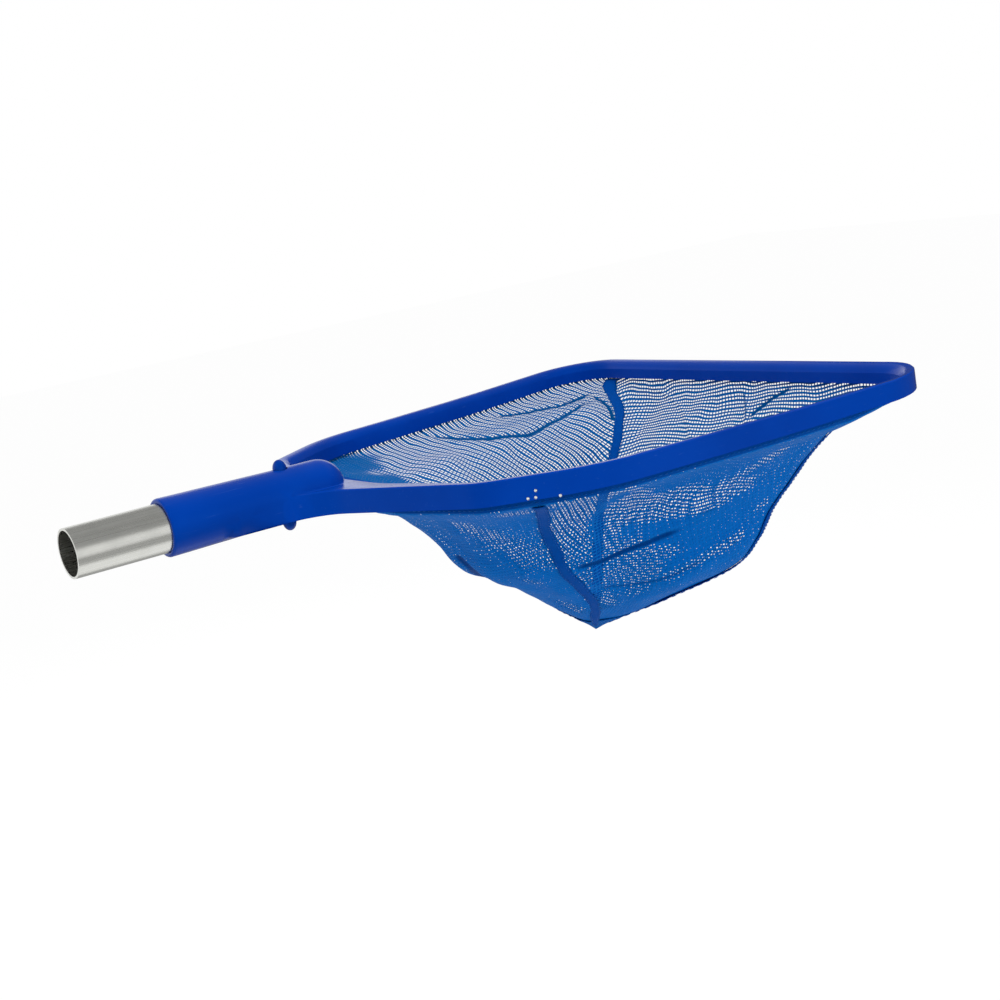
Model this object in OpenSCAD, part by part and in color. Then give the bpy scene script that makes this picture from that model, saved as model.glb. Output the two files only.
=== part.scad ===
// Leaf skimmer net: a moulded hoop with a socket for its pole, a spring clip that locks the pole,
// and a sewn mesh bag whose hem is held in a channel under the hoop.
// Millimetres. The origin is the centre of the pole's free end, +X runs along the pole towards the
// hoop's front edge, +Y to the far side and +Z up.

/* [Pole] */
// Outside diameter of the aluminium pole
pole_d = 30; // [26:0.5:36]
// Wall of the pole
pole_wall = 1.4; // [1:0.1:2.2]
// Length of pole outside the socket
pole_show = 58; // [20:1:300]
// Length of pole inside the socket
pole_grip = 94; // [92:1:100]
// How much less the pole's radius is where its end is drawn down to enter the socket
pole_step = 0.2; // [0.2:0.05:0.4]

/* [Socket] */
// Radial play between the pole and the socket's bore
pole_play = 0.1; // [0.05:0.05:0.3]
// Wall of the socket at its mouth
mouth_wall = 2.7; // [2:0.1:5]
// Wall of the socket at the buttons
socket_wall = 1.4; // [1:0.1:4]
// From the socket's mouth to the centre of the buttons
button_back = 82; // [78:1:86]
// Length of the socket's rounded nose
nose_len = 17; // [12:1:22]
// How far the cored inside runs into the nose
core_run = 3; // [1:0.5:5]
// Depth of the shoulder that stops the pole
stop_h = 2.6; // [1.5:0.1:5]

/* [Hoop] */
// From the buttons to the inner edge of the rear bar
bar_front = 44.5; // [40:0.5:60]
// Half length of the straight part of the rear bar
bar_half = 50; // [40:1:60]
// From the buttons to the rear shoulders
shoulder_x = 58; // [52:1:70]
// Width across the rear shoulders
shoulder_w = 253; // [220:1:270]
// From the buttons to where the sides straighten
side_x = 116; // [100:1:140]
// Width across the hoop where the sides straighten
side_w = 338; // [300:1:370]
// From the buttons to the front edge
front_x = 375; // [320:1:420]
// Width across the front corners before rounding
front_w = 394; // [340:1:430]
// Radius of the fillet between the socket and each wing
root_r = 40; // [25:1:42]
// Radius of the rear shoulders
shoulder_r = 32; // [15:1:45]
// Radius of the bends into the sides
side_r = 105; // [60:1:120]
// Radius of the front corners
front_r = 45; // [30:1:60]

/* [Rim] */
// Width of the rim
rim_w = 9; // [9:0.1:12]
// Height of the rim at the buttons
rim_h = 15; // [13:0.5:20]
// How much lower the rim is at the front
rim_thin = 2.3; // [0:0.1:3]
// Height of the rim's top over the pole's axis, at the wings
rim_z = 1; // [0:0.5:4]
// Rise of the rim's top at the front
rim_rise = 6.5; // [0:0.5:12]
// Width of the rounded bevel along the inner edge
bevel_w = 5.4; // [4:0.1:6]
// Depth of the rounded bevel
bevel_h = 5.5; // [4:0.1:6]
// Chamfer along the outer edge
edge_c = 0.8; // [0.4:0.1:1.5]
// Wall of the rim on each side of its channel
rim_wall = 2.2; // [1.6:0.1:2.2]
// Thickness of the rim's top
rim_top = 2.6; // [2:0.1:3]
// Wall between the channel and the pockets under the wings
pocket_wall = 2; // [1.2:0.1:3]
// Thickness of the ribs under the wings
rib_t = 2; // [1.2:0.1:4]

/* [Bag hem] */
// Thickness of the hem band
band_t = 1.3; // [0.8:0.1:1.4]
// How far the hem band hangs below the rim on the near side
band_drop = 4.5; // [1:0.5:10]
// How far the hem band hangs below the rim on the far side and in front
band_least = 0.5; // [0:0.1:1]
// Diameter of the cord in the hem
cord_d = 2.8; // [2:0.1:2.8]
// Play of each piece in the channel
channel_play = 0.1; // [0.05:0.05:0.2]
// Depth of the retaining strip's top below the rim's top
strip_seat = 7; // [6.8:0.1:8]
// How far the retaining strip lies inside the channel's mouth
strip_sunk = 0.4; // [0.2:0.1:2]

/* [Bag] */
// Depth of the bag's tip below the pole's axis
bag_depth = 146.8; // [100:1:220]
// From the buttons to the bag's tip
tip_x = 212.5; // [180:1:240]
// Along the hem from the rear centre to each rear seam
seam_back = 166; // [120:2:200]
// Along the hem from the rear centre to each front seam
seam_fore = 438; // [360:2:460]
// How far each rear seam leans along the hem, away from the rear centre at half depth
rear_lean = 10; // [0:1:20]
// How far each front seam's top leans towards the front centre
front_lean = 29; // [0:1:40]
// Thickness of the mesh
mesh_t = 0.8; // [0.5:0.1:1.2]
// Gap between sewn pieces
sew_gap = 0.3; // [0.2:0.05:0.5]
// Width of the tapes over the seams
tape_w = 8; // [5:0.5:12]
// Thickness of the tapes
tape_t = 0.8; // [0.5:0.1:1.2]

/* [Spring clip] */
// Diameter of each button
button_d = 8.6; // [7:0.1:9]
// How far each button stands out of the socket
button_out = 5.7; // [4:0.1:6]
// Play round each button
button_play = 0.7; // [0.6:0.05:1]
// Thickness of the clip's strip
clip_t = 2; // [1.2:0.1:2.2]
// Width of the clip's strip
clip_w = 9; // [6:0.5:10]
// Play between the clip and the pole's inside
clip_play = 0.4; // [0.3:0.05:0.6]
// From the buttons back to the clip's bends
arm_len = 44; // [40:1:46]
// How far each arm runs past its button
arm_tail = 8; // [6:0.5:9]
// Gap between the bow and each arm
bend_gap = 0.3; // [0.2:0.05:0.5]

/* [Hidden] */

pole_r = pole_d / 2;
bore_r = pole_r + pole_play;
mouth_r = bore_r + mouth_wall;
socket_r = bore_r + socket_wall;
mouth_x = pole_show;
button_x = mouth_x + button_back;
pole_end = pole_show + pole_grip;
// The pole is drawn down just outside the socket's mouth.
seat_r = pole_r - pole_step;
seat_x = pole_show - 0.5;
// The nose ends on the flat of the rear bar, where its bevel starts.
nose_back = bevel_w - 0.9;
nose_x = button_x + bar_front - nose_back;
lip_r = mouth_wall * 0.6;

// ---- plan of the hoop, far half, from the rear centre to the front centre ----

function unit(v) = v / norm(v);
function last(v) = v[len(v) - 1];
// Normal to the right of a direction of travel
function right(d) = [d[1], -d[0]];
// A round that reaches t along both sides of the corner b
function corner(a, b, c, t, n) =
    let (d = unit(b - a), e = unit(c - b), s = min(t, 0.48 * norm(b - a), 0.48 * norm(c - b)))
    let (p = b - s * d, q = b + s * e, w = sqrt((1 + d * e) / 2))
    [for (i = [0:n]) let (u = i / n, h = 1 - u, k = 2 * w * u * h)
        (h * h * p + k * b + u * u * q) / (h * h + k + u * u)];
// Reach of a fillet of radius r in the corner b
function reach(a, b, c, r) =
    let (k = unit(b - a) * unit(c - b)) r * sqrt((1 - k) / (1 + k));
function between(a, b, m) = [for (i = [1:1:m - 1]) a + (b - a) * i / m];
// Corner b of a polyline moved inwards by w
function inset(a, b, c, w) =
    let (n = right(unit(b - a)), o = right(unit(c - b))) b + w * (n + o) / (1 + n * o);
// Rounded polyline through v, with reach t, n steps in each round and m on each straight
function route(v, t, n, m) =
    let (c = [for (i = [1:len(v) - 2]) corner(v[i - 1], v[i], v[i + 1], t[i - 1], n[i - 1])])
    [
        v[0],
        for (i = [0:len(c) - 1])
            each concat(between(i == 0 ? v[0] : last(c[i - 1]), c[i][0], m[i]), c[i]),
        each between(last(last(c)), last(v), last(m)),
        last(v)
    ];

steps = [2, 6, 3, 4, 6, 12];
runs = [1, 1, 1, 2, 3, 6, 4];

root_x = 11.6;
rear_x = -46;
root_v = [root_x, socket_r];
shoulder_v = [shoulder_x, shoulder_w / 2];
outer_v = [
    [rear_x, 0],
    [rear_x, socket_r],
    root_v,
    root_v * 0.6 + shoulder_v * 0.4,
    shoulder_v,
    [side_x, side_w / 2],
    [front_x, front_w / 2],
    [front_x, 0]
];
outer_t = [
    7,
    reach(outer_v[1], outer_v[2], outer_v[3], root_r),
    14,
    reach(outer_v[3], outer_v[4], outer_v[5], shoulder_r),
    reach(outer_v[4], outer_v[5], outer_v[6], side_r),
    reach(outer_v[5], outer_v[6], outer_v[7], front_r)
];
inner_a = inset(outer_v[3], outer_v[4], outer_v[5], rim_w);
inner_b = inset(outer_v[4], outer_v[5], outer_v[6], rim_w);
inner_c = inset(outer_v[5], outer_v[6], outer_v[7], rim_w);
inner_v = [
    [bar_front, 0],
    [bar_front, 9],
    [bar_front, 26],
    [bar_front, bar_half],
    inner_a,
    inner_b,
    inner_c,
    [front_x - rim_w, 0]
];
inner_t = [
    5,
    5,
    17,
    reach(inner_v[3], inner_v[4], inner_v[5], shoulder_r - rim_w),
    reach(inner_v[4], inner_v[5], inner_v[6], side_r - rim_w),
    reach(inner_v[5], inner_v[6], inner_v[7], front_r - rim_w)
];

outer_half = route(outer_v, outer_t, steps, runs);
inner_half = route(inner_v, inner_t, steps, runs);
halves = len(outer_half);
// Both halves as one closed loop
function loop(h) = concat(h, [for (i = [halves - 2:-1:1]) [h[i][0], -h[i][1]]]);
outer = loop(outer_half);
inner = loop(inner_half);
count = len(outer);
function at(v, i) = v[(i + count) % count];
// Outward normal of a loop at its point i
function out(v, i) =
    let (d = unit(at(v, i + 1) - at(v, i)), e = unit(at(v, i) - at(v, i - 1)))
    -right(unit(d + e));
outer_n = [for (i = [0:count - 1]) out(outer, i)];
inner_n = [for (i = [0:count - 1]) out(inner, i)];

// ---- heights along the hoop ----

function top_z(x) = rim_z + rim_rise * pow(max(0, x) / front_x, 3);
function high(x) = rim_h - rim_thin * max(0, x) / front_x;
// A point w outwards from the inner edge at station i, z below the rim's top
function from_in(i, w, z) =
    let (p = inner[i] + w * inner_n[i]) [button_x + p[0], p[1], top_z(inner[i][0]) - z];
// The same from the outer edge inwards
function from_out(i, w, z) =
    let (p = outer[i] - w * outer_n[i]) [button_x + p[0], p[1], top_z(outer[i][0]) - z];
function in_h(i) = high(inner[i][0]);
function out_h(i) = high(outer[i][0]);

// ---- solids swept through rings of points ----

module closed_sweep(rings) {
    k = len(rings[0]);
    n = len(rings);
    points = [for (r = rings) each r];
    faces = [
        for (i = [0:n - 1])
            for (j = [0:k - 1])
                let (a = i * k, b = ((i + 1) % n) * k, q = (j + 1) % k)
                each [[a + j, b + q, a + q], [a + j, b + j, b + q]]
    ];
    polyhedron(points, faces, convexity = 8);
}

module open_sweep(rings) {
    k = len(rings[0]);
    n = len(rings);
    points = [for (r = rings) each r];
    sides = [
        for (i = [0:n - 2])
            for (j = [0:k - 1])
                let (a = i * k, b = (i + 1) * k, q = (j + 1) % k)
                each [[a + j, b + q, a + q], [a + j, b + j, b + q]]
    ];
    ends = [
        [for (j = [0:k - 1]) j],
        [for (j = [k - 1:-1:0]) (n - 1) * k + j]
    ];
    polyhedron(points, concat(sides, ends), convexity = 8);
}

// ---- the moulding ----

channel_w = rim_w - 2 * rim_wall;
channel_out = rim_wall + channel_w;

function rim_section(i) = [
    from_out(i, 0, out_h(i)),
    from_out(i, 0, edge_c),
    from_out(i, edge_c, 0),
    from_in(i, bevel_w, 0),
    from_in(i, bevel_w * 0.6, bevel_h * 0.16),
    from_in(i, bevel_w * 0.22, bevel_h * 0.5),
    from_in(i, 0, bevel_h),
    from_in(i, 0, in_h(i)),
    from_in(i, rim_wall, in_h(i)),
    from_in(i, rim_wall, bevel_h + 1.1),
    from_in(i, rim_wall + 0.52 * channel_w, rim_top + 0.4),
    from_in(i, channel_out, rim_top),
    from_in(i, channel_out, in_h(i))
];

module hoop() {
    closed_sweep([for (i = [0:count - 1]) rim_section(i)]);
}

// Socket with its rounded lip and nose, turned about the pole's axis
module socket_body() {
    full = nose_x - nose_len;
    translate([mouth_x, 0, 0])
        rotate([0, 90, 0])
            rotate_extrude($fn = 96)
                polygon([
                    [0, 0],
                    [mouth_r - lip_r, 0],
                    for (a = [15:15:90]) [mouth_r - lip_r + lip_r * sin(a), lip_r - lip_r * cos(a)],
                    [socket_r, button_back],
                    for (a = [0:6:90]) [socket_r * cos(a), full - mouth_x + nose_len * sin(a)]
                ]);
}

// Stations between which the underside of each wing is hollow, and where its ribs stand
pocket_from = 7;
pocket_to = 14;
rib_at = [9, 12];

module pocket(side) {
    pts = [
        for (i = [pocket_from:pocket_to]) inner[i] + (channel_out + pocket_wall) * inner_n[i],
        for (i = [pocket_to:-1:pocket_from]) outer[i] - rim_wall * outer_n[i]
    ];
    translate([button_x, 0, rim_z - rim_h - 1])
        linear_extrude(rim_h + 1 - rim_top)
            scale([1, side])
                difference() {
                    polygon(pts);
                    for (i = rib_at) {
                        w = rib_t / 2 * right(unit(outer[i] - inner[i]));
                        polygon([inner[i] - w, outer[i] - w, outer[i] + w, inner[i] + w]);
                    }
                }
}

module frame_moulding() {
    color("#0a4ab4")
        difference() {
            union() {
                hoop();
                socket_body();
            }
            translate([mouth_x - 1, 0, 0])
                rotate([0, 90, 0])
                    cylinder(r = bore_r, h = pole_grip + 1 + 0.4, $fn = 96);
            translate([mouth_x, 0, 0])
                rotate([0, 90, 0])
                    cylinder(r = bore_r - stop_h, h = nose_x - nose_len + core_run - mouth_x, $fn = 96);
            translate([button_x, 0, 0])
                cylinder(r = button_d / 2 + button_play, h = 2 * mouth_r + 4, center = true, $fn = 64);
            // The channel stays open below the nose
            translate([button_x + bar_front - channel_out, -socket_r - 3, -2 * mouth_r])
                cube([channel_w, 2 * socket_r + 6, 2 * mouth_r + rim_z - rim_top]);
            for (side = [-1, 1])
                pocket(side);
        }
}

// ---- pole and clip ----

module pole() {
    color("#c8cbd0")
        difference() {
            union() {
                rotate([0, 90, 0])
                    cylinder(r = pole_r, h = seat_x, $fn = 96);
                rotate([0, 90, 0])
                    cylinder(r = seat_r, h = pole_end, $fn = 96);
            }
            translate([-1, 0, 0])
                rotate([0, 90, 0])
                    cylinder(r = pole_r - pole_wall, h = pole_end + 2, $fn = 96);
            translate([button_x, 0, 0])
                cylinder(r = button_d / 2 + button_play, h = pole_d + 4, center = true, $fn = 64);
        }
}

bend_x = button_x - arm_len;
inside_r = pole_r - pole_wall;
// Outer face of the strip, which clears the pole's inside along both edges
strip_z = sqrt(pow(inside_r - clip_play, 2) - pow(clip_w / 2, 2));

module clip_bow() {
    color("#0b46a8")
        intersection() {
            translate([bend_x, clip_w / 2, 0])
                rotate([90, 0, 0])
                    difference() {
                        cylinder(r = strip_z, h = clip_w, $fn = 96);
                        translate([0, 0, -1])
                            cylinder(r = strip_z - clip_t, h = clip_w + 2, $fn = 96);
                    }
            translate([bend_x - 2 * strip_z, -clip_w, -2 * strip_z])
                cube([2 * strip_z - bend_gap / 2, 2 * clip_w, 4 * strip_z]);
        }
}

module clip_arm() {
    arm_start = bend_x + bend_gap / 2;
    tail_x = button_x + arm_tail - clip_w / 2;
    union() {
        translate([arm_start, -clip_w / 2, strip_z - clip_t])
            cube([tail_x - arm_start, clip_w, clip_t]);
        translate([tail_x, 0, strip_z - clip_t])
            cylinder(d = clip_w, h = clip_t, $fn = 64);
        // Button: a straight shank and a domed end
        translate([button_x, 0, strip_z - clip_t])
            rotate_extrude($fn = 64)
                polygon([
                    [0, 0],
                    [button_d / 2, 0],
                    for (a = [0:9:90])
                        [
                            button_d / 2 * cos(a),
                            socket_r - strip_z + clip_t + button_out * sin(a)
                        ]
                ]);
    }
}

module clip_arm_upper() {
    color("#0b46a8")
        clip_arm();
}

module clip_arm_lower() {
    color("#0b46a8")
        mirror([0, 0, 1])
            clip_arm();
}

// ---- hem ----

band_in = rim_wall + channel_play;
strip_in = band_in + band_t + channel_play;
strip_out = channel_out - channel_play;
cord_w = strip_out - cord_d / 2 - 0.2;
cord_z = strip_seat - cord_d / 2 - 0.4;

function strip_section(i) = [
    from_in(i, strip_out, in_h(i) - strip_sunk),
    from_in(i, strip_out, strip_seat),
    from_in(i, strip_in, strip_seat),
    from_in(i, strip_in, in_h(i) - strip_sunk)
];

// A station's section at a cut a little short of the centre line
function short_of(p, q, gap) = let (s = gap / abs(q[1] - p[1])) p + (q - p) * s;
function half_strip() =
    let (n = halves - 1, a = strip_section(0), b = strip_section(1))
    let (c = strip_section(n), d = strip_section(n - 1))
    [
        [for (j = [0:3]) short_of(a[j], b[j], sew_gap / 2)],
        for (i = [1:n - 1]) strip_section(i),
        [for (j = [0:3]) short_of(c[j], d[j], sew_gap / 2)]
    ];

module strip_far() {
    color("#0a3f9c")
        open_sweep(half_strip());
}

module strip_near() {
    color("#0a3f9c")
        mirror([0, 1, 0])
            open_sweep(half_strip());
}

module hem_cord() {
    color("#e8ecf2")
        closed_sweep([
            for (i = [0:count - 1])
                [for (a = [0:60:300]) from_in(i, cord_w + cord_d / 2 * cos(a), cord_z - cord_d / 2 * sin(a))]
        ]);
}

// The band hangs lower on the near side and is drawn up round the front corner.
function limit(k) = max(0, min(1, k));
function band_low(p) =
    band_least + (band_drop - band_least) * limit(0.5 - p[1] / 120) * limit((front_x - front_r - p[0]) / 30);
function band_section(i) =
    let (low = in_h(i) + band_low(inner[i]))
    [
        from_in(i, band_in + band_t, low),
        from_in(i, band_in + band_t, strip_seat),
        from_in(i, band_in, strip_seat),
        from_in(i, band_in, low)
    ];

module hem_band() {
    color("#083a92")
        closed_sweep([for (i = [0:count - 1]) band_section(i)]);
}

// ---- bag ----

// Share of the hem's size left at even steps of the depth, from the hem to the tip
rear_x_at = [1, 0.77, 0.65, 0.57, 0.51, 0.38, 0.23, 0.12, 0];
front_x_at = [1, 0.97, 0.88, 0.78, 0.67, 0.58, 0.48, 0.25, 0];
rear_y_at = [1, 0.67, 0.48, 0.41, 0.38, 0.33, 0.26, 0.14, 0];
front_y_at = [1, 0.71, 0.6, 0.55, 0.51, 0.49, 0.42, 0.22, 0];
// Smooth curve through v at f from 0 to 1
function curve(v, f) =
    let (n = len(v) - 1, x = f * n, i = max(0, min(floor(x), n - 1)), t = x - i)
    let (a = v[max(0, i - 1)], b = v[i], c = v[i + 1], d = v[min(n, i + 2)])
    b + t / 2 * (c - a + t * (2 * a - 5 * b + 4 * c - d + t * (3 * b - a - 3 * c + d)));

hem_mid = band_in + band_t / 2;
hem = [for (i = [0:count - 1]) inner[i] + hem_mid * inner_n[i]];
function hem_at(u) = let (i = floor(u), k = u - i) at(hem, i) * (1 - k) + at(hem, i + 1) * k;
function hem_z(p) = top_z(p[0]) - high(p[0]) - band_low(p) - sew_gap - mesh_t / 4;

// Point of the bag's mid surface at station u and share f of the depth
function bag(u, f) =
    let (h = hem_at(u), w = 1 / (1 + exp((tip_x - h[0]) / 25)), z = hem_z(h))
    let (sx = curve(rear_x_at, f) * (1 - w) + curve(front_x_at, f) * w)
    let (sy = curve(rear_y_at, f) * (1 - w) + curve(front_y_at, f) * w)
    [button_x + tip_x + (h[0] - tip_x) * sx, h[1] * sy, z + (-bag_depth - z) * f];
// Normal towards the bag's inside
function bag_n(u, f) =
    let (g = min(f, 0.97), a = bag(u + 0.3, g) - bag(u - 0.3, g))
    let (b = bag(u, g + 0.02) - bag(u, max(0, g - 0.02)))
    unit(cross(b, a));
function bag_off(u, f, d) = bag(u, f) + d * bag_n(u, f);

rows = [0, 0.03, 0.06, 0.12, 0.2, 0.3, 0.4, 0.5, 0.6, 0.7, 0.79, 0.87, 0.94];
tip_f = 0.945;

// A sheet between the distances along the hem in ss and the shares of depth in fs
module sheet(ss, fs, t) {
    n = len(ss);
    k = len(fs);
    m = n * k;
    points = [
        for (s = [1, -1])
            for (q = ss)
                for (f = fs)
                    bag_off(station(q + lean(q, f)), f, s * t / 2)
    ];
    skin = [
        for (i = [0:n - 2])
            for (j = [0:k - 2])
                let (a = i * k + j, b = a + k)
                each [[a, b + 1, a + 1], [a, b, b + 1]]
    ];
    core = [for (f = skin) [f[0] + m, f[2] + m, f[1] + m]];
    // The border runs once round the sheet
    border = concat(
        [for (j = [0:k - 1]) j],
        [for (i = [1:n - 1]) i * k + k - 1],
        [for (j = [k - 2:-1:0]) (n - 1) * k + j],
        [for (i = [n - 2:-1:1]) i * k]
    );
    rim = [
        for (i = [0:len(border) - 1])
            let (a = border[i], b = border[(i + 1) % len(border)])
            each [[a, b + m, a + m], [a, b, b + m]]
    ];
    polyhedron(points, concat(skin, core, rim), convexity = 8);
}

// Distance along the hem at each station, and the station at a distance s from the rear centre
hem_len = [for (i = 0, c = 0; i <= count; c = c + norm(at(hem, i + 1) - at(hem, i)), i = i + 1) [i, c]];
hem_back = [for (p = hem_len) [p[1], p[0]]];
hem_all = last(hem_len)[1];
function station(s) = lookup(s < 0 ? s + hem_all : s, hem_back) - (s < 0 ? count : 0);

// How far a thread of the mesh that starts at a distance s has moved along the hem at a share f of the depth
function lean(s, f) =
    let (e = s > hem_all / 2 ? s - hem_all : s)
    let (r = rear_lean * (1.5 * sin(90 * min(1, 2 * f)) - 1), g = front_lean * (1.38 * exp(-f / 0.08) - 0.38))
    sign(e) * lookup(abs(e), [[0, 0], [seam_back, r], [seam_fore, g], [hem_all / 2, 0]]);

// Distances across a panel between a and b, a little short of both seams
panel_step = 14;
function panel_ss(a, b) =
    let (n = ceil((b - a) / panel_step), c = a + sew_gap / 2, d = b - sew_gap / 2)
    [for (i = [0:n]) c + (d - c) * i / n];

module bag_rear() {
    color("#2f7fd0")
        sheet(panel_ss(-seam_back, seam_back), rows, mesh_t);
}

module bag_far() {
    color("#3f8bd8")
        sheet(panel_ss(seam_back, seam_fore), rows, mesh_t);
}

module bag_near() {
    color("#2a78c8")
        sheet(panel_ss(hem_all - seam_fore, hem_all - seam_back), rows, mesh_t);
}

module bag_front() {
    color("#4a94dc")
        sheet(panel_ss(seam_fore, hem_all - seam_fore), rows, mesh_t);
}

// A tape laid over the seam at a distance along the hem, on the outside of the mesh
module seam(q) {
    a = -mesh_t / 2 - sew_gap - tape_t;
    open_sweep([
        for (f = rows)
            let (c = q + lean(q, f), u = station(c), h = norm(hem_at(u + 0.3) - hem_at(u - 0.3)))
            let (s = tape_w / 2 * h / norm(bag(u + 0.3, f) - bag(u - 0.3, f)))
            [
                bag_off(station(c - s), f, a),
                bag_off(u, f, a),
                bag_off(station(c + s), f, a),
                bag_off(station(c + s), f, a + tape_t),
                bag_off(u, f, a + tape_t),
                bag_off(station(c - s), f, a + tape_t)
            ]
    ]);
}

module seam_rear_far() {
    color("#0a3484")
        seam(seam_back);
}

module seam_rear_near() {
    color("#0a3484")
        seam(hem_all - seam_back);
}

module seam_front_far() {
    color("#0a3484")
        seam(seam_fore);
}

module seam_front_near() {
    color("#0a3484")
        seam(hem_all - seam_fore);
}

// Sewn tip, where the four panels are drawn together
module bag_tip() {
    fs = [tip_f, 0.965, 0.985];
    us = [for (u = [0:4:count - 1]) u];
    n = len(us);
    points = [
        for (f = fs) each [for (u = us) bag_off(u, f, mesh_t / 2)],
        for (f = fs) each [for (u = us) bag_off(u, f, -mesh_t / 2)],
        [button_x + tip_x, 0, -bag_depth - mesh_t / 2],
        [button_x + tip_x, 0, -bag_depth + mesh_t / 2]
    ];
    k = len(fs);
    skin = [
        for (j = [0:k - 2])
            for (i = [0:n - 1])
                let (q = (i + 1) % n, a = j * n, b = (j + 1) * n)
                each [[a + i, a + q, b + q], [a + i, b + q, b + i]]
    ];
    core = [for (t = skin) [t[0] + k * n, t[2] + k * n, t[1] + k * n]];
    caps = [
        for (i = [0:n - 1])
            let (q = (i + 1) % n, a = (k - 1) * n, b = (2 * k - 1) * n)
            each [[a + i, a + q, 2 * k * n], [b + q, b + i, 2 * k * n + 1]]
    ];
    rim = [
        for (i = [0:n - 1])
            let (q = (i + 1) % n)
            each [[i, k * n + i, k * n + q], [i, k * n + q, q]]
    ];
    color("#1c5fb4")
        polyhedron(points, concat(skin, core, caps, rim), convexity = 8);
}

frame_moulding();
pole();
clip_bow();
clip_arm_upper();
clip_arm_lower();
strip_far();
strip_near();
hem_cord();
hem_band();
bag_rear();
bag_front();
bag_far();
bag_near();
seam_rear_far();
seam_rear_near();
seam_front_far();
seam_front_near();
bag_tip();
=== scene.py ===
import math

import bmesh
import bpy
from bpy.props import FloatProperty, FloatVectorProperty, IntProperty, PointerProperty
from bpy.types import Operator, Panel, PropertyGroup
from mathutils import Matrix, Vector, noise


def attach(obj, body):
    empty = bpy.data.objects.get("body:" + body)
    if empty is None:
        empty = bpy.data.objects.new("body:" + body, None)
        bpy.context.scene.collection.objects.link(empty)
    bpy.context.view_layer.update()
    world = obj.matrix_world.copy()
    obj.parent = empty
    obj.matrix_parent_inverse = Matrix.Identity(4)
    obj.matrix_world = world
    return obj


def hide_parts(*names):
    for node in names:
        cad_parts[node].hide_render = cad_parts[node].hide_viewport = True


bl_info = {
    "name": "Leaf skimmer net",
    "version": (1, 0, 0),
    "blender": (4, 5, 0),
    "location": "3D View > Sidebar > Skimmer",
    "description": "Dresses a deep-bag leaf skimmer: glossy moulding, aluminium pole, sewn open-mesh bag",
    "category": "Object",
}

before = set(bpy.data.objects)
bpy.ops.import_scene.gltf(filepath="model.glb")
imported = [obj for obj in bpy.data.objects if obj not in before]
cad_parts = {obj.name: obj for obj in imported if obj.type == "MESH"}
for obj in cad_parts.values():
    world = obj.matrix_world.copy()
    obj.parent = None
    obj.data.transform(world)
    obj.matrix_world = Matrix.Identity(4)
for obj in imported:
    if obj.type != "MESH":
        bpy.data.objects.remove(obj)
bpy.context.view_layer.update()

MM = 0.001


# ---------------------------------------------------------------- settings


class MouldingSettings(PropertyGroup):
    colour: FloatVectorProperty(
        name="Plastic", description="Colour of the moulded hoop and socket",
        subtype="COLOR", size=3, min=0, max=1, default=(0.0005, 0.045, 0.36),
    )
    gloss: FloatProperty(
        name="Roughness", description="Roughness of the moulded plastic",
        subtype="FACTOR", min=0, max=1, default=0.2,
    )


class PoleSettings(PropertyGroup):
    colour: FloatVectorProperty(
        name="Aluminium", description="Colour of the drawn aluminium tube",
        subtype="COLOR", size=3, min=0, max=1, default=(0.65, 0.655, 0.615),
    )
    roughness: FloatProperty(
        name="Roughness", description="Roughness of the anodised surface",
        subtype="FACTOR", min=0, max=1, default=0.24,
    )


class BagSettings(PropertyGroup):
    mesh_colour: FloatVectorProperty(
        name="Mesh", description="Colour of the mesh's yarn",
        subtype="COLOR", size=3, min=0, max=1, default=(0.003, 0.13, 0.5),
    )
    tape_colour: FloatVectorProperty(
        name="Tape", description="Colour of the hem and of the seam bindings",
        subtype="COLOR", size=3, min=0, max=1, default=(0.0005, 0.088, 0.45),
    )
    thread_colour: FloatVectorProperty(
        name="Thread", description="Colour of the sewing thread",
        subtype="COLOR", size=3, min=0, max=1, default=(0.002, 0.12, 0.5),
    )
    pitch: FloatProperty(
        name="Mesh pitch", description="Distance between the mesh's yarns",
        subtype="DISTANCE", unit="LENGTH", min=0.0008, max=0.004, default=0.0026,
    )
    yarn: FloatProperty(
        name="Yarn share", description="Share of the pitch that the yarn covers where the mesh is open",
        subtype="FACTOR", min=0.1, max=0.9, default=0.5,
    )
    closed: FloatProperty(
        name="Closed share", description="Share of the pitch that the yarn covers where the mesh is slack",
        subtype="FACTOR", min=0.1, max=1, default=0.9,
    )
    slack: FloatProperty(
        name="Slack", description="How far loose cloth wanders from its even shape",
        subtype="DISTANCE", unit="LENGTH", min=0, max=0.004, default=0.0016,
    )
    stitch: FloatProperty(
        name="Stitch", description="Length of one stitch with its gap",
        subtype="DISTANCE", unit="LENGTH", min=0.002, max=0.008, default=0.004,
    )
    columns: IntProperty(
        name="Cloth columns", description="Columns of faces in each panel",
        min=20, max=240, default=170,
    )
    rows: IntProperty(
        name="Cloth rows", description="Rows of faces from the hem to the tip",
        min=20, max=160, default=96,
    )


class StageSettings(PropertyGroup):
    floor: FloatProperty(
        name="Floor", description="Height of the floor below the pole's axis",
        subtype="DISTANCE", unit="LENGTH", min=0.15, max=2, default=0.5,
    )
    key: FloatProperty(
        name="Key light", description="Power of the large lamp above",
        subtype="POWER", unit="POWER", min=0, max=200, default=10,
    )
    ambient: FloatProperty(
        name="Ambient", description="Strength of the even light from all sides",
        min=0, max=2, default=0.6,
    )


# ---------------------------------------------------------------- shader helpers


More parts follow.
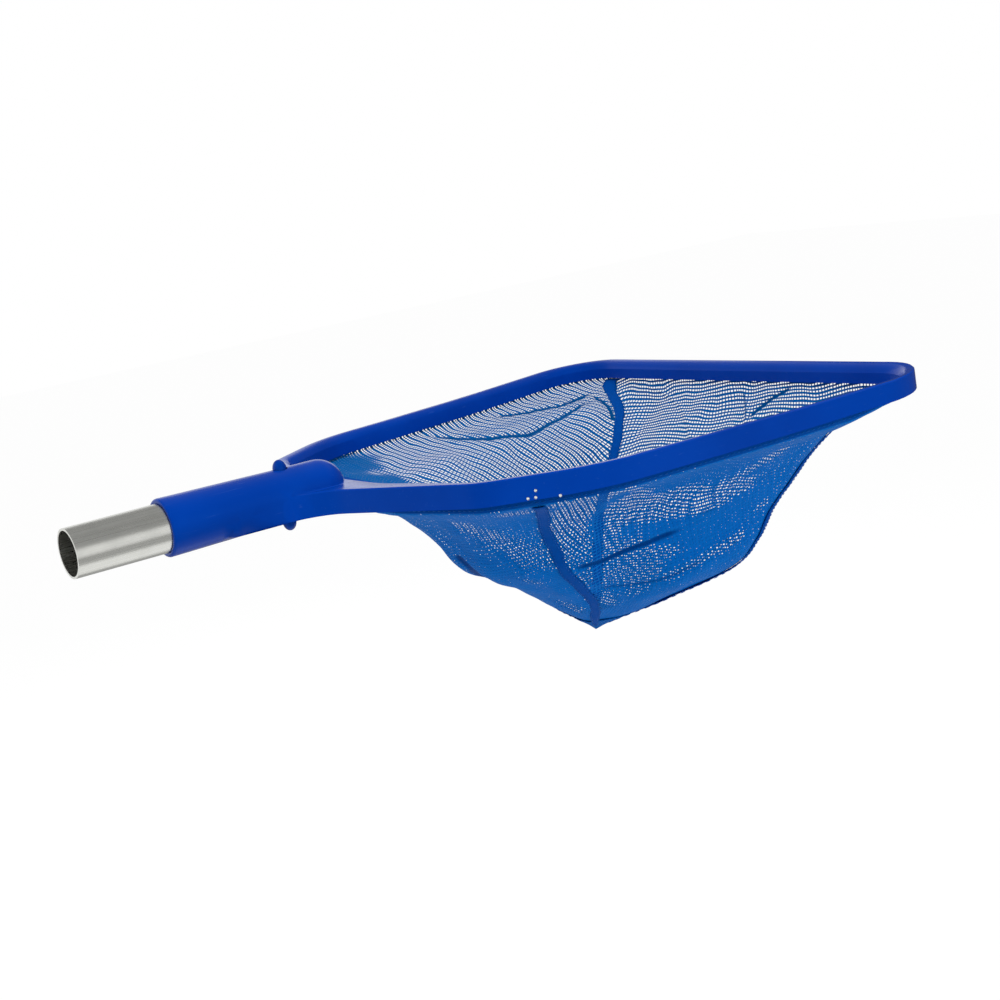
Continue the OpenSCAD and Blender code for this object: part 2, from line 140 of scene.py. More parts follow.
class Value:
    """What a shader node gives. Sums of values and numbers add Math nodes, so patterns read as formulas."""

    def __init__(self, output):
        self.output = output

    def __add__(self, other):
        return maths("ADD", self, other)

    def __radd__(self, other):
        return maths("ADD", other, self)

    def __sub__(self, other):
        return maths("SUBTRACT", self, other)

    def __rsub__(self, other):
        return maths("SUBTRACT", other, self)

    def __mul__(self, other):
        return maths("MULTIPLY", self, other)

    def __truediv__(self, other):
        return maths("DIVIDE", self, other)

    def __pow__(self, other):
        return maths("POWER", self, other)

    def __abs__(self):
        return maths("ABSOLUTE", self)


def socket(target, value):
    """Links a node's value into a socket, or types a number or a colour into it."""
    if isinstance(value, Value):
        target.id_data.links.new(value.output, target)
    elif value is not None:
        if hasattr(target.default_value, "__len__") and len(value) == 3 and len(target.default_value) == 4:
            value = (*value, 1)
        target.default_value = value


def results(tree, kind, inputs=(), **settings):
    """Adds a node with its settings and inputs, and returns what it gives, by name."""
    node = tree.nodes.new(kind)
    for key, value in settings.items():
        setattr(node, key, value)
    for key, value in dict(inputs).items():
        socket(node.inputs[key], value)
    return {s.name: Value(s) for s in node.outputs}


def maths(kind, *values, clamp=False):
    """The result of a Math node."""
    tree = next(v for v in values if isinstance(v, Value)).output.id_data
    return results(tree, "ShaderNodeMath", enumerate(values), operation=kind, use_clamp=clamp)["Value"]


def remap(value, low, high, to_low=0.0, to_high=1.0, smooth=True):
    """A value brought from one range to another, with soft ends or in a straight line."""
    inputs = {"Value": value, "From Min": low, "From Max": high, "To Min": to_low, "To Max": to_high}
    kind = "SMOOTHSTEP" if smooth else "LINEAR"
    return results(value.output.id_data, "ShaderNodeMapRange", inputs, interpolation_type=kind)["Result"]


def mix_colour(factor, a, b):
    """The colour a, with as much of the colour b as the factor says."""
    node = factor.output.id_data.nodes.new("ShaderNodeMix")
    node.data_type = "RGBA"
    socket(node.inputs["Factor"], factor)
    for name, colour in (("A", a), ("B", b)):
        socket(next(s for s in node.inputs if s.name == name and s.type == "RGBA"), colour)
    return Value(next(s for s in node.outputs if s.type == "RGBA"))


def clouds(place, scale, detail, roughness=None, output="Fac"):
    """Soft noise over a place."""
    inputs = {"Vector": place, "Scale": scale, "Detail": detail, "Roughness": roughness}
    return results(place.output.id_data, "ShaderNodeTexNoise", inputs)[output]


def pulled(place, scale):
    """A place scaled along each axis, so that what is drawn there runs in lines."""
    return results(place.output.id_data, "ShaderNodeMapping", {"Vector": place, "Scale": scale})["Vector"]


def axes(place):
    """The three numbers of a place."""
    return results(place.output.id_data, "ShaderNodeSeparateXYZ", {0: place}).values()


def vectors(kind, place, other):
    """The result of a Vector Math node on a place and another vector, or the number that scales it."""
    inputs = {0: place, "Scale" if kind == "SCALE" else 1: other}
    return results(place.output.id_data, "ShaderNodeVectorMath", inputs, operation=kind)["Vector"]


def bump(height, distance, strength):
    """The normals of a surface that is raised by a height, over a distance in metres."""
    inputs = {"Height": height, "Distance": distance, "Strength": strength}
    return results(height.output.id_data, "ShaderNodeBump", inputs)["Normal"]


# ---------------------------------------------------------------- shader groups


def moulded(get):
    """Injection-moulded plastic: slow clouding, fine orange peel and hairline scuffs."""
    cloud = clouds(get["Vector"], 14, 3, 0.55)
    peel = clouds(get["Vector"], 420, 2)
    lines = clouds(pulled(get["Vector"], (40, 900, 500)), 1, 4, 0.6)
    scuff = remap(lines, 0.62, 0.74) * get["Scuffs"]
    dark = mix_colour(remap(cloud, 0.35, 0.75) * 0.35, get["Colour"], (0, 0.022, 0.22))
    rough = get["Roughness"] + (cloud - 0.5) * 0.16
    return {
        "Colour": mix_colour(scuff * 0.18, dark, (0.12, 0.25, 0.62)),
        "Roughness": maths("ADD", rough, scuff * 0.14, clamp=True),
        "Height": peel * 0.5 + scuff * -0.3,
    }


def drawn(get):
    """Drawn tube: lines along the pull, with patches of dulled oxide."""
    lines = clouds(pulled(get["Vector"], (6, 900, 900)), 1, 5, 0.65)
    patch = clouds(get["Vector"], 60, 4)
    tone = mix_colour(remap(lines, 0.35, 0.7, 0, 0.7), get["Colour"], (0.8, 0.8, 0.765))
    rough = get["Roughness"] + (lines - 0.5) * 0.25
    return {
        "Colour": mix_colour(remap(patch, 0.45, 0.7) * 0.25, tone, (0.5, 0.51, 0.485)),
        "Roughness": maths("ADD", rough, patch * 0.08, clamp=True),
        "Height": lines,
    }


def open_weave(get):
    """Open mesh: two sets of round yarns that pass over and under each other, with holes between them.
    Mask is 1 on yarn and 0 in a hole, Height is the yarn's crown, Tone varies from yarn to yarn, and Fold is
    1 in a sharp fold, where the mesh is darkened with painted shade. State holds how far the mesh is stretched
    open and how sharply it is folded."""
    stretched, sharp, _ = axes(get["State"])
    ragged = (clouds(get["Vector"], 130, 2) - 0.5) * 0.25
    opened = remap(stretched + ragged, 0, 0.68)
    # The yarns wander from their even places.
    wander = vectors("SUBTRACT", clouds(get["Vector"], 22, 2, output="Color"), (0.5, 0.5, 0.5))
    place = vectors("ADD", get["Vector"], vectors("SCALE", wander, 0.012))
    u, v, _ = axes(place)
    count = (u / get["Pitch"], v / get["Pitch"])
    # The rows, which run round the bag, are heavier than the lines that run down it. Ribs make every second
    # row heavier still, and the lines finer.
    second = maths("GREATER_THAN", maths("FRACT", count[1] * 0.5), 0.5)
    heavy = get["Rib"] * (second - 0.5)
    line = get["Yarn"] * (0.8 - get["Rib"] * 0.3)
    row = get["Yarn"] * 1.15 * (1.0 + heavy * 0.8)
    crowns, masks, tones = [], [], []
    for i, (share, lift) in enumerate(((line, -0.35), (row, 0.35))):
        half = remap(opened, 0, 1, get["Closed"], share, smooth=False) * 0.5
        off = abs(maths("FRACT", count[i]) - 0.5)
        masks.append(remap(off, half + 0.03, half - 0.03))
        number = maths("FLOOR", count[i])
        over = maths("SINE", (count[1 - i] + number) * math.pi) * lift
        round_top = maths("SUBTRACT", 1.0, (off / half) ** 2.0, clamp=True)
        crowns.append((maths("SQRT", round_top) + over) * masks[i])
        tree = number.output.id_data
        tones.append(results(tree, "ShaderNodeTexWhiteNoise", {"W": number}, noise_dimensions="1D")["Value"])
    return {
        "Mask": maths("MAXIMUM", maths("MAXIMUM", *masks), remap(sharp, 0.45, 0.7)),
        "Height": maths("MAXIMUM", *crowns),
        "Tone": maths("ADD", (tones[0] + tones[1]) * 0.5, heavy, clamp=True),
        "Fold": remap(sharp, 0.3, 0.9),
    }


def twill(get):
    """Woven tape: slanted ribs across its width, the weft between them, painted shade where the weave lies low
    and a faded nap.
    """
    u, v, _ = axes(get["Vector"])
    rib = abs(maths("SINE", (u + v * 0.8) / get["Rib"] * math.pi))
    weft = abs(maths("SINE", v / get["Rib"] * (math.pi * 1.6)))
    height = rib * (0.7 + weft * 0.3)
    fade = clouds(get["Vector"], 70, 3)
    # Painted shade: the tape is darkened where its weave lies low, between the ribs.
    valley_shade = mix_colour((1.0 - height) * 0.55, get["Colour"], (0, 0.008, 0.08))
    return {
        "Colour": mix_colour(remap(fade, 0.5, 0.8) * 0.3, valley_shade, (0.01, 0.12, 0.45)),
        "Roughness": 0.68 + fade * 0.2,
        "Height": height,
    }


def plied(get):
    """Plied thread: slanted strands round its length."""
    inputs = {"Vector": get["Vector"], "Scale": 700, "Distortion": 1.5, "Detail": 1}
    tree = get["Vector"].output.id_data
    wave = results(tree, "ShaderNodeTexWave", inputs, wave_type="BANDS", bands_direction="DIAGONAL")["Fac"]
    return {"Colour": mix_colour(wave * 0.45, get["Colour"], (0, 0.02, 0.15)), "Height": wave}


SURFACE = {"Colour": "Color", "Roughness": "Float", "Height": "Float"}
# Each group's pattern, its inputs beside Vector with their kinds and defaults, and its outputs
GROUPS = {
    "Moulded surface": (
        moulded,
        {"Colour": ("Color", (0, 0.05, 0.4, 1)), "Roughness": ("Float", 0.3), "Scuffs": ("Float", 0.5)},
        SURFACE,
    ),
    "Drawn metal": (
        drawn,
        {"Colour": ("Color", (0.7, 0.7, 0.7, 1)), "Roughness": ("Float", 0.3)},
        SURFACE,
    ),
    "Open weave": (
        open_weave,
        {
            "State": ("Vector", (0, 0, 0)), "Pitch": ("Float", 0.002), "Yarn": ("Float", 0.4),
            "Closed": ("Float", 0.9), "Rib": ("Float", 0.0),
        },
        {"Mask": "Float", "Height": "Float", "Tone": "Float", "Fold": "Float"},
    ),
    "Woven tape": (
        twill,
        {"Colour": ("Color", (0, 0.03, 0.2, 1)), "Rib": ("Float", 0.0009)},
        SURFACE,
    ),
    "Plied thread": (
        plied,
        {"Colour": ("Color", (0.1, 0.2, 0.6, 1))},
        {"Colour": "Color", "Height": "Float"},
    ),
}


def built_group(name):
    """A shader group, built when it is first asked for."""
    if name in bpy.data.node_groups:
        return bpy.data.node_groups[name]
    pattern, inputs, outputs = GROUPS[name]
    tree = bpy.data.node_groups.new(name, "ShaderNodeTree")
    tree.interface.new_socket(name="Vector", in_out="INPUT", socket_type="NodeSocketVector")
    for label, (kind, default) in inputs.items():
        made = tree.interface.new_socket(name=label, in_out="INPUT", socket_type="NodeSocket" + kind)
        made.default_value = default
    for label, kind in outputs.items():
        tree.interface.new_socket(name=label, in_out="OUTPUT", socket_type="NodeSocket" + kind)
    put = tree.nodes.new("NodeGroupOutput").inputs
    for label, value in pattern(results(tree, "NodeGroupInput")).items():
        socket(put[label], value)
    return tree


# ---------------------------------------------------------------- materials


def material(name, **values):
    """A new material and the inputs of its Principled shader."""
    made = bpy.data.materials.new(name)
    made.use_nodes = True
    shader = made.node_tree.nodes["Principled BSDF"].inputs
    for key, value in values.items():
        socket(shader[key.replace("_", " ")], value)
    return made, shader


def object_place(made):
    return results(made.node_tree, "ShaderNodeTexCoord")["Object"]


def uv_place(made, name="Cloth"):
    return results(made.node_tree, "ShaderNodeUVMap", uv_map=name)["UV"]


def surfaced(name, group, inputs, relief, on_cloth=False, **values):
    """A material whose colour, roughness and relief come from a shader group. relief is the bump's distance
    and strength, and a group that gives no roughness leaves it to the values."""
    made, shader = material(name, **values)
    place = uv_place(made) if on_cloth else object_place(made)
    inputs = {"Vector": place, **inputs}
    out = results(made.node_tree, "ShaderNodeGroup", inputs, node_tree=built_group(group))
    socket(shader["Base Color"], out["Colour"])
    if "Roughness" in out:
        socket(shader["Roughness"], out["Roughness"])
    socket(shader["Normal"], bump(out["Height"], *relief))
    return made


def plastic(name, colour, roughness, scuffs=0.5, specular=0.22):
    inputs = {"Colour": colour, "Roughness": roughness, "Scuffs": scuffs}
    return surfaced(
        name, "Moulded surface", inputs, (0.00006, 0.35),
        Specular_IOR_Level=specular, Specular_Tint=(0.03, 0.2, 0.7),
    )


def aluminium(name, colour, roughness):
    inputs = {"Colour": colour, "Roughness": roughness}
    return surfaced(name, "Drawn metal", inputs, (0.00003, 0.4), Metallic=1.0)


def woven_tape(name, colour, rib=0.0009):
    return surfaced(
        name, "Woven tape", {"Colour": colour, "Rib": rib}, (0.00015, 0.7), on_cloth=True,
        Specular_IOR_Level=0.15, Specular_Tint=(0.03, 0.2, 0.6),
    )


def sewing_thread(name, colour):
    return surfaced(
        name, "Plied thread", {"Colour": colour}, (0.0001, 0.6),
        Roughness=0.5, Specular_IOR_Level=0.4, Specular_Tint=(0.2, 0.4, 0.8),
    )


def open_mesh(name, look, rib, thinned):
    """The bag's mesh, with painted shade in its folds and on its inner side, and a painted highlight on its
    yarns' crowns.
    """
    made, shader = material(name, Specular_IOR_Level=0.05, Specular_Tint=(0.02, 0.2, 0.6), Roughness=0.6)
    inputs = {
        "Vector": uv_place(made), "State": uv_place(made, "State"), "Pitch": look.pitch,
        "Yarn": look.yarn * thinned, "Closed": look.closed, "Rib": rib,
    }
    out = results(made.node_tree, "ShaderNodeGroup", inputs, node_tree=built_group("Open weave"))
    colour = mix_colour(out["Tone"] * 0.5, look.mesh_colour, (0, 0.08, 0.4))
    # Painted highlight: the yarns' crowns are lightened.
    colour = mix_colour(out["Height"] * 0.25, colour, (0.001, 0.2, 0.7))
    # Painted shade: the mesh is darkened in its sharp folds.
    colour = mix_colour(out["Fold"] * 0.85, colour, (0, 0.035, 0.2))
    # Painted shade: the mesh's inner side, seen from its back faces, is darkened.
    inner = results(made.node_tree, "ShaderNodeNewGeometry")["Backfacing"]
    socket(shader["Base Color"], mix_colour(inner * 0.6, colour, (0, 0.09, 0.27)))
    socket(shader["Alpha"], out["Mask"])
    socket(shader["Normal"], bump(out["Height"], 0.0003, 0.8))
    return made


# ---------------------------------------------------------------- plan of the hoop, in millimetres

POLE_END = 140.0  # from the pole's free end to the buttons, where the plan starts
BAR_FRONT = 44.5  # the rear bar's inner edge
BAR_HALF = 50.0  # half of its straight part
BAR_REACH = 17.0  # how far its rounded corners reach along their sides
ROOT = Vector((11.6, 16.5))  # where the wings leave the socket
SHOULDER, SIDE = Vector((58.0, 126.5)), Vector((116.0, 169.0))
FRONT = 375.0
FRONT_CORNER = Vector((FRONT, 197.0))
SHOULDER_R, SIDE_R, FRONT_R = 32.0, 105.0, 45.0
ROUND_STEPS = (6, 6, 8, 14)
STRAIGHT_STEPS = (7, 2, 3, 6, 6)
RIM_WIDTH = 9.0
RIM_TOP, RIM_RISE = 1.0, 6.5
RIM_HEIGHT, RIM_THINNING = 15.0, 2.3
HEM_IN = 2.95  # the hem band's middle, outwards from the rim's inner edge
BAND_LEAST, BAND_MOST = 0.5, 4.5  # how far the band hangs below the rim
TIP = Vector((212.5, 0.0))
DEPTH = 146.8
SEAM_BACK, SEAM_FORE = 166.0, 438.0  # along the hem from the rear centre
SEWN = 0.3  # gap between sewn pieces


def right_of(d):
    return Vector((d.y, -d.x))


def rounded(a, b, c, reach, count):
    """Points of a conic round that reaches the same distance along both sides of the corner b."""
    d, e = (b - a).normalized(), (c - b).normalized()
    s = min(reach, 0.48 * (b - a).length, 0.48 * (c - b).length)
    p, q, w = b - s * d, b + s * e, math.sqrt((1 + d.dot(e)) / 2)
    points = []
    for i in range(count + 1):
        u = i / count
        h, k = 1 - u, 2 * w * u * (1 - u)
        points.append((h * h * p + k * b + u * u * q) / (h * h + k + u * u))
    return points


def straight(a, b, count):
    """Points between a and b, without the ends."""
    return [a.lerp(b, k / count) for k in range(1, count)]


def fillet_reach(a, b, c, radius):
    """How far a fillet of some radius reaches along both sides of the corner b."""
    k = (b - a).normalized().dot((c - b).normalized())
    return radius * math.sqrt((1 - k) / (1 + k))


def moved_in(a, b, c, width):
    """The corner b of an outline moved inwards by width."""
    n, o = right_of((b - a).normalized()), right_of((c - b).normalized())
    return b + width * (n + o) / (1 + n.dot(o))


def inner_plan():
    """The rim's inner edge as a closed list of points, from the rear centre by the far side."""
    outer = [ROOT * 0.6 + SHOULDER * 0.4, SHOULDER, SIDE, FRONT_CORNER, Vector((FRONT, 0))]
    bends = [moved_in(*outer[i : i + 3], RIM_WIDTH) for i in range(3)]
    corners = [Vector((BAR_FRONT, 0)), Vector((BAR_FRONT, BAR_HALF)), *bends, Vector((FRONT - RIM_WIDTH, 0))]
    reaches = [BAR_REACH]
    for i, radius in enumerate((SHOULDER_R, SIDE_R, FRONT_R), 1):
        reaches.append(fillet_reach(*corners[i : i + 3], radius - RIM_WIDTH))
    start = corners[0]
    half = [start]
    for i, (reach, count, run) in enumerate(zip(reaches, ROUND_STEPS, STRAIGHT_STEPS)):
        bend = rounded(*corners[i : i + 3], reach, count)
        half += straight(start, bend[0], run) + bend
        start = bend[-1]
    half += straight(start, corners[-1], STRAIGHT_STEPS[-1]) + [corners[-1]]
    return half + [Vector((p.x, -p.y)) for p in half[-2:0:-1]]


def offset_loop(points, width):
    """A closed loop moved outwards by width."""
    n, moved = len(points), []
    for i, p in enumerate(points):
        d = (points[(i + 1) % n] - p).normalized() + (p - points[i - 1]).normalized()
        moved.append(p - width * right_of(d.normalized()))
    return moved


class Loop:
    """A smooth closed curve through points, read by its length from the first."""

    def __init__(self, points):
        self.points, self.n, self.at_len = points, len(points), [0.0]
        for i in range(self.n):
            self.at_len.append(self.at_len[-1] + (points[(i + 1) % self.n] - points[i]).length)
        self.length = self.at_len[-1]
        self.slopes = []
        for i in range(self.n):
            before, after = self.step(i - 1), self.step(i)
            a = (points[i] - points[i - 1]) / before
            b = (points[(i + 1) % self.n] - points[i]) / after
            self.slopes.append((a * after + b * before) / (after + before))

    def step(self, i):
        i %= self.n
        return self.at_len[i + 1] - self.at_len[i]

    def __call__(self, s):
        s %= self.length
        low, high = 0, self.n
        while high - low > 1:
            middle = (low + high) // 2
            low, high = (middle, high) if self.at_len[middle] <= s else (low, middle)
        w = self.step(low)
        t = (s - self.at_len[low]) / w
        a, b = self.points[low], self.points[(low + 1) % self.n]
        m, k = self.slopes[low] * w, self.slopes[(low + 1) % self.n] * w
        return (
            a * (2 * t**3 - 3 * t**2 + 1) + m * (t**3 - 2 * t**2 + t)
            + b * (3 * t**2 - 2 * t**3) + k * (t**3 - t**2)
        )

    def side(self, s, step=0.5):
        """Unit vector outwards at s."""
        return -right_of((self(s + step) - self(s - step)).normalized())


INNER = inner_plan()
HEM = Loop(offset_loop(INNER, HEM_IN))


def limited(k):
    return max(0.0, min(1.0, k))


def rim_top(x):
    return RIM_TOP + RIM_RISE * (max(0, x) / FRONT) ** 3


def rim_height(x):
    return RIM_HEIGHT - RIM_THINNING * max(0, x) / FRONT


def band_low(p):
    """How far the hem band hangs below the rim, lower on the near side and drawn up round the front corner."""
    more = limited(0.5 - p.y / 120) * limited((FRONT - FRONT_R - p.x) / 30)
    return BAND_LEAST + (BAND_MOST - BAND_LEAST) * more


def band_foot(p):
    """Height of the hem band's lower fold."""
    return rim_top(p.x) - rim_height(p.x) - band_low(p)


def hem_height(p):
    """Height at which the mesh starts under the hem band."""
    return band_foot(p) - SEWN - 0.2


# ---------------------------------------------------------------- even surface of the bag, in millimetres

# How much of the hem's reach from the tip is left, along and across the net, at even steps down to the tip
REAR_X = (1, 0.77, 0.65, 0.57, 0.51, 0.38, 0.23, 0.12, 0)
FRONT_X = (1, 0.97, 0.88, 0.78, 0.67, 0.58, 0.48, 0.25, 0)
REAR_Y = (1, 0.67, 0.48, 0.41, 0.38, 0.33, 0.26, 0.14, 0)
FRONT_Y = (1, 0.71, 0.6, 0.55, 0.51, 0.49, 0.42, 0.22, 0)
BLEND = 25  # length over which the rear's shape gives way to the front's
# How far each rear seam leans along the hem, away from the rear centre at half depth, and how far each front
# seam's top leans towards the front centre
REAR_LEAN, FRONT_LEAN = 10, 29


def share(v, f):
    """A smooth curve through the values v, read at the share f of its length."""
    n = len(v) - 1
    x = f * n
    i = max(0, min(math.floor(x), n - 1))
    t = x - i
    a, b, c, d = v[max(0, i - 1)], v[i], v[i + 1], v[min(n, i + 2)]
    return b + t / 2 * (c - a + t * (2 * a - 5 * b + 4 * c - d + t * (3 * b - a - 3 * c + d)))


def bag_point(s, f):
    """The bag's even surface at the length s along the hem and the share f of its depth."""
    h = HEM(s)
    w, z = 1 / (1 + math.exp((TIP.x - h.x) / BLEND)), hem_height(h)
    sx = share(REAR_X, f) * (1 - w) + share(FRONT_X, f) * w
    sy = share(REAR_Y, f) * (1 - w) + share(FRONT_Y, f) * w
    return Vector((POLE_END + TIP.x + (h.x - TIP.x) * sx, h.y * sy, z + (-DEPTH - z) * f))


def lean(s, f):
    """How far a thread of the mesh that starts at s has moved along the hem at the share f of the depth."""
    e = s - HEM.length if s > HEM.length / 2 else s
    k = abs(e)
    back = REAR_LEAN * (1.5 * math.sin(math.pi * min(0.5, f)) - 1)
    fore = FRONT_LEAN * (1.38 * math.exp(-f / 0.08) - 0.38)
    if k < SEAM_BACK:
        moved = back * k / SEAM_BACK
    elif k < SEAM_FORE:
        moved = back + (fore - back) * (k - SEAM_BACK) / (SEAM_FORE - SEAM_BACK)
    else:
        moved = fore * max(0, HEM.length / 2 - k) / (HEM.length / 2 - SEAM_FORE)
    return moved if e >= 0 else -moved


def sewn_point(s, f):
    """The bag's even surface along the thread that starts at s."""
    return bag_point(s + lean(s, f), f)


def bag_out(s, f):
    """Unit vector out of the bag. Below the share 0.97, where the surface closes, it stays the same."""
    g = min(f, 0.97)
    along = bag_point(s + 1, g) - bag_point(s - 1, g)
    down = bag_point(s, g + 0.02) - bag_point(s, max(0, g - 0.02))
    return along.cross(down).normalized()


# ---------------------------------------------------------------- folds of the cloth

# A place is given by its length along the hem and its share of the depth. Lengths on the near side count back
# from the rear centre. Lengths, widths and heights are millimetres.

# Creases and tucks: places, half width, height outwards, sharpness
FOLDS = (
    (((-176, 0.52), (-228, 0.52), (-281, 0.48), (-320, 0.44)), 2.6, -1.6, 1),
    (((-205, 0.03), (-226, 0.24)), 5, 1.4, 0.4),
    (((-180, 0.66), (-262, 0.7), (-300, 0.69), (-370, 0.6)), 2.4, -1.2, 0.7),
    (((24, 0.4), (8, 0.5), (66, 0.62)), 6, -2, 1),
    (((-60, 0.2), (-130, 0.5)), 3, -1.2, 0.4),
    (((272, 0.01), (295, 0.06), (315, 0.1), (343, 0.13), (371, 0.11), (402, 0.1), (437, 0.07)), 3, 1.8, 1),
    (((340, 0.03), (366, 0.05), (401, 0.07), (437, 0.05)), 3, 1.5, 1),
    (((430, 0.04), (425, 0.17), (437, 0.18)), 2.4, 1.2, 0.85),
    (((638, 0.18), (673, 0.02)), 2.6, 1.6, 1),
    (((618, 0.04), (639, 0.2)), 2, -1.4, 0.7),
    (((500, 0.02), (560, 0.3)), 3, -1.2, 0.5),
)
# Mesh drawn open by the pull of the seams: ends, half width, how open
STRETCHED = (
    (((-176, 0.02), (-208, 0.05)), 15, 1),
    (((-194, 0.1), (-191, 0.3)), 13, 1),
    (((-191, 0.3), (-180, 0.45)), 9, 1),
    (((-247, 0.14), (-236, 0.33)), 9, 0.85),
    (((-258, 0.24), (-335, 0.32)), 13, 0.95),
    (((-350, 0.3), (-362, 0.3)), 7, 0.75),
    (((-212, 0.47), (-300, 0.51)), 10, 0.7),
    (((-345, 0.23), (-378, 0.13)), 5, 0.75),
    (((-206, 0.58), (-287, 0.64)), 9, 0.85),
    (((-190, 0.72), (-204, 0.79)), 8, 0.8),
    (((-306, 0.67), (-386, 0.57)), 4, 0.75),
    (((-390, 0.44), (-402, 0.46)), 6, 0.55),
    (((-270, 0.73), (-282, 0.73)), 5, 0.55),
    (((-90, 0.76), (-104, 0.8)), 9, 0.7),
    (((-108, 0.54), (-114, 0.56)), 5, 0.6),
    (((-77, 0.13), (-144, 0.41)), 15, 0.5),
    (((-138, 0.04), (-152, 0.06)), 8, 0.95),
)
# Mesh gathered shut at corners and beside creases: ends, half width, how much less open
GATHERED = (
    (((150, 0), (198, 0.035)), 18, 1),
    (((166, 0.08), (186, 0.12)), 13, 1),
    (((-292, 0.45), (-390, 0.42)), 7, 0.9),
    (((290, 0.07), (437, 0.09)), 8, 0.35),
    (((360, 0.16), (437, 0.14)), 12, 0.3),
    (((625, 0.05), (655, 0.12)), 9, 0.3),
    (((680, 0.01), (720, 0.05)), 9, 0.35),
)
PANELS = {
    "rear": (-SEAM_BACK, SEAM_BACK),
    "far": (SEAM_BACK, SEAM_FORE),
    "front": (SEAM_FORE, HEM.length - SEAM_FORE),
    "near": (HEM.length - SEAM_FORE, HEM.length - SEAM_BACK),
}
# How open each panel's mesh hangs by itself, at its start and at its end
AT_EASE = {"rear": (0.06, 0.45), "far": (0.75, 0.95), "front": (1, 0.9), "near": (0.2, 0.06)}
# How far its threads are turned to the panel, in degrees
TURNED = {"rear": 8, "far": 62, "front": -6, "near": 12}
# How much heavier every second row of its threads is, and the width of its yarn over the usual one
RIBBED = {"rear": 0, "far": 1, "front": 0.3, "near": 0.2}
THINNED = {"rear": 0.9, "far": 1.08, "front": 1, "near": 0.76}


def on_panel(table, name):
    """The rows of a table that reach a panel."""
    start, end = PANELS[name]
    back = HEM.length if name == "near" else 0
    low, high = start - back - 30, end - back + 30
    return [row for row in table if any(low < place[0] < high for place in row[0])]


def away(here, a, b, scale):
    """Distance in the cloth from the line between two places, and how far along it."""
    ax, ay = (a[0] - here[0]) * scale[0], (a[1] - here[1]) * scale[1]
    dx, dy = (b[0] - a[0]) * scale[0], (b[1] - a[1]) * scale[1]
    t = limited(-(ax * dx + ay * dy) / max(dx * dx + dy * dy, 1e-6))
    return math.hypot(ax + dx * t, ay + dy * t), t


def folded(here, folds, scale):
    """How far the folds push the cloth out, and how sharp they are here."""
    push, sharp = 0.0, 0.0
    for places, width, height, sharpness in folds:
        count = len(places) - 1
        tries = [away(here, places[i], places[i + 1], scale) for i in range(count)]
        nearest = min(range(count), key=lambda i: tries[i][0])
        d, t = tries[nearest][0], (nearest + tries[nearest][1]) / count
        if d < 3 * width:
            k = math.exp(-((d / width) ** 2)) * limited(0.25 + 5 * t) * limited(0.25 + 5 * (1 - t))
            push += height * k
            sharp = max(sharp, sharpness * k)
    return push, sharp


def openness(here, p, at_ease, stretched, gathered, scale):
    """How far the mesh is stretched open: soft patches with uneven edges."""
    uneven = 1 + 0.5 * noise.noise(p * 0.07 + Vector((7.4, 1.9, 3.3)))

    def near_to(ends, width):
        return limited(1.2 * math.exp(-((away(here, *ends, scale)[0] / (width * uneven)) ** 2)))

    value = at_ease * (1 - 0.6 * limited((here[1] - 0.45) / 0.35))
    for ends, width, strength in stretched:
        value = max(value, strength * near_to(ends, 1.2 * width))
    for ends, width, strength in gathered:
        value -= strength * near_to(ends, width)
    return max(0.0, value)


def slack_at(panel, s, f, p, amount):
    """How far the cloth stands out of its even shape: it is held at the hem, at the seams and at the tip."""
    a, b = PANELS[panel]
    across = min(s - a, b - s)
    held = limited(across / 22) * limited(f / 0.1) * limited((1 - f) / 0.18)
    slow = noise.noise(p * 0.024 + Vector((3.1, 0.7, 9.2)))
    mid = noise.noise(p * 0.06 + Vector((11.3, 5.2, 2.4)))
    puckers = 0.28 * math.sin(s * 0.52 + 1.3 * math.sin(s * 0.06)) * math.exp(-f / 0.09) * limited(across / 8)
    return held * amount * (1.7 * slow + 0.8 * mid) + puckers


# ---------------------------------------------------------------- mesh helpers


def in_scene(name, data):
    """A new object with some data, linked into the scene."""
    made = bpy.data.objects.new(name, data)
    bpy.context.scene.collection.objects.link(made)
    return made


def mesh_from(name, bm):
    """A new mesh made from a bmesh, which is freed."""
    mesh = bpy.data.meshes.new(name)
    bm.to_mesh(mesh)
    bm.free()
    return mesh


def as_piece(name, mesh, skin, replaces=()):
    """A mesh as a smooth piece of one material that rides on the net, in place of CAD nodes."""
    piece = in_scene(name, mesh)
    mesh.materials.append(skin)
    mesh.shade_smooth()
    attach(piece, "net")
    if replaces:
        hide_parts(*replaces)
    return piece


def finished(name, bm, skin, replaces=()):
    """A bmesh in millimetres as a piece."""
    for v in bm.verts:
        v.co *= MM
    return as_piece(name, mesh_from(name, bm), skin, replaces)


def coat(name, skin):
    """Gives a CAD node its material."""
    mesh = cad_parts[name].data
    mesh.materials.clear()
    mesh.materials.append(skin)


def write_map(bm, where, name, uv):
    layer = bm.loops.layers.uv.get(name) or bm.loops.layers.uv.new(name)
    for face in {f for v in where for f in v.link_faces}:
        for corner in face.loops:
            corner[layer].uv = uv(*where[corner.vert])


def grid(bm, columns, rows, place, uv):
    """A sheet of columns by rows faces. place(i, j) gives each corner's place, and uv(i, j) that on the flat
    cloth."""
    made = bmesh.ops.create_grid(bm, x_segments=columns, y_segments=rows, size=0.5)["verts"]
    where = {}
    for v in made:
        key = (round((v.co.x + 0.5) * columns), round((v.co.y + 0.5) * rows))
        where[v] = key
        v.co = place(*key)
    write_map(bm, where, "Cloth", uv)
    return where


def facing(along):
    """The turn that brings z to a direction."""
    return along.to_track_quat("Z", "Y").to_matrix().to_4x4()


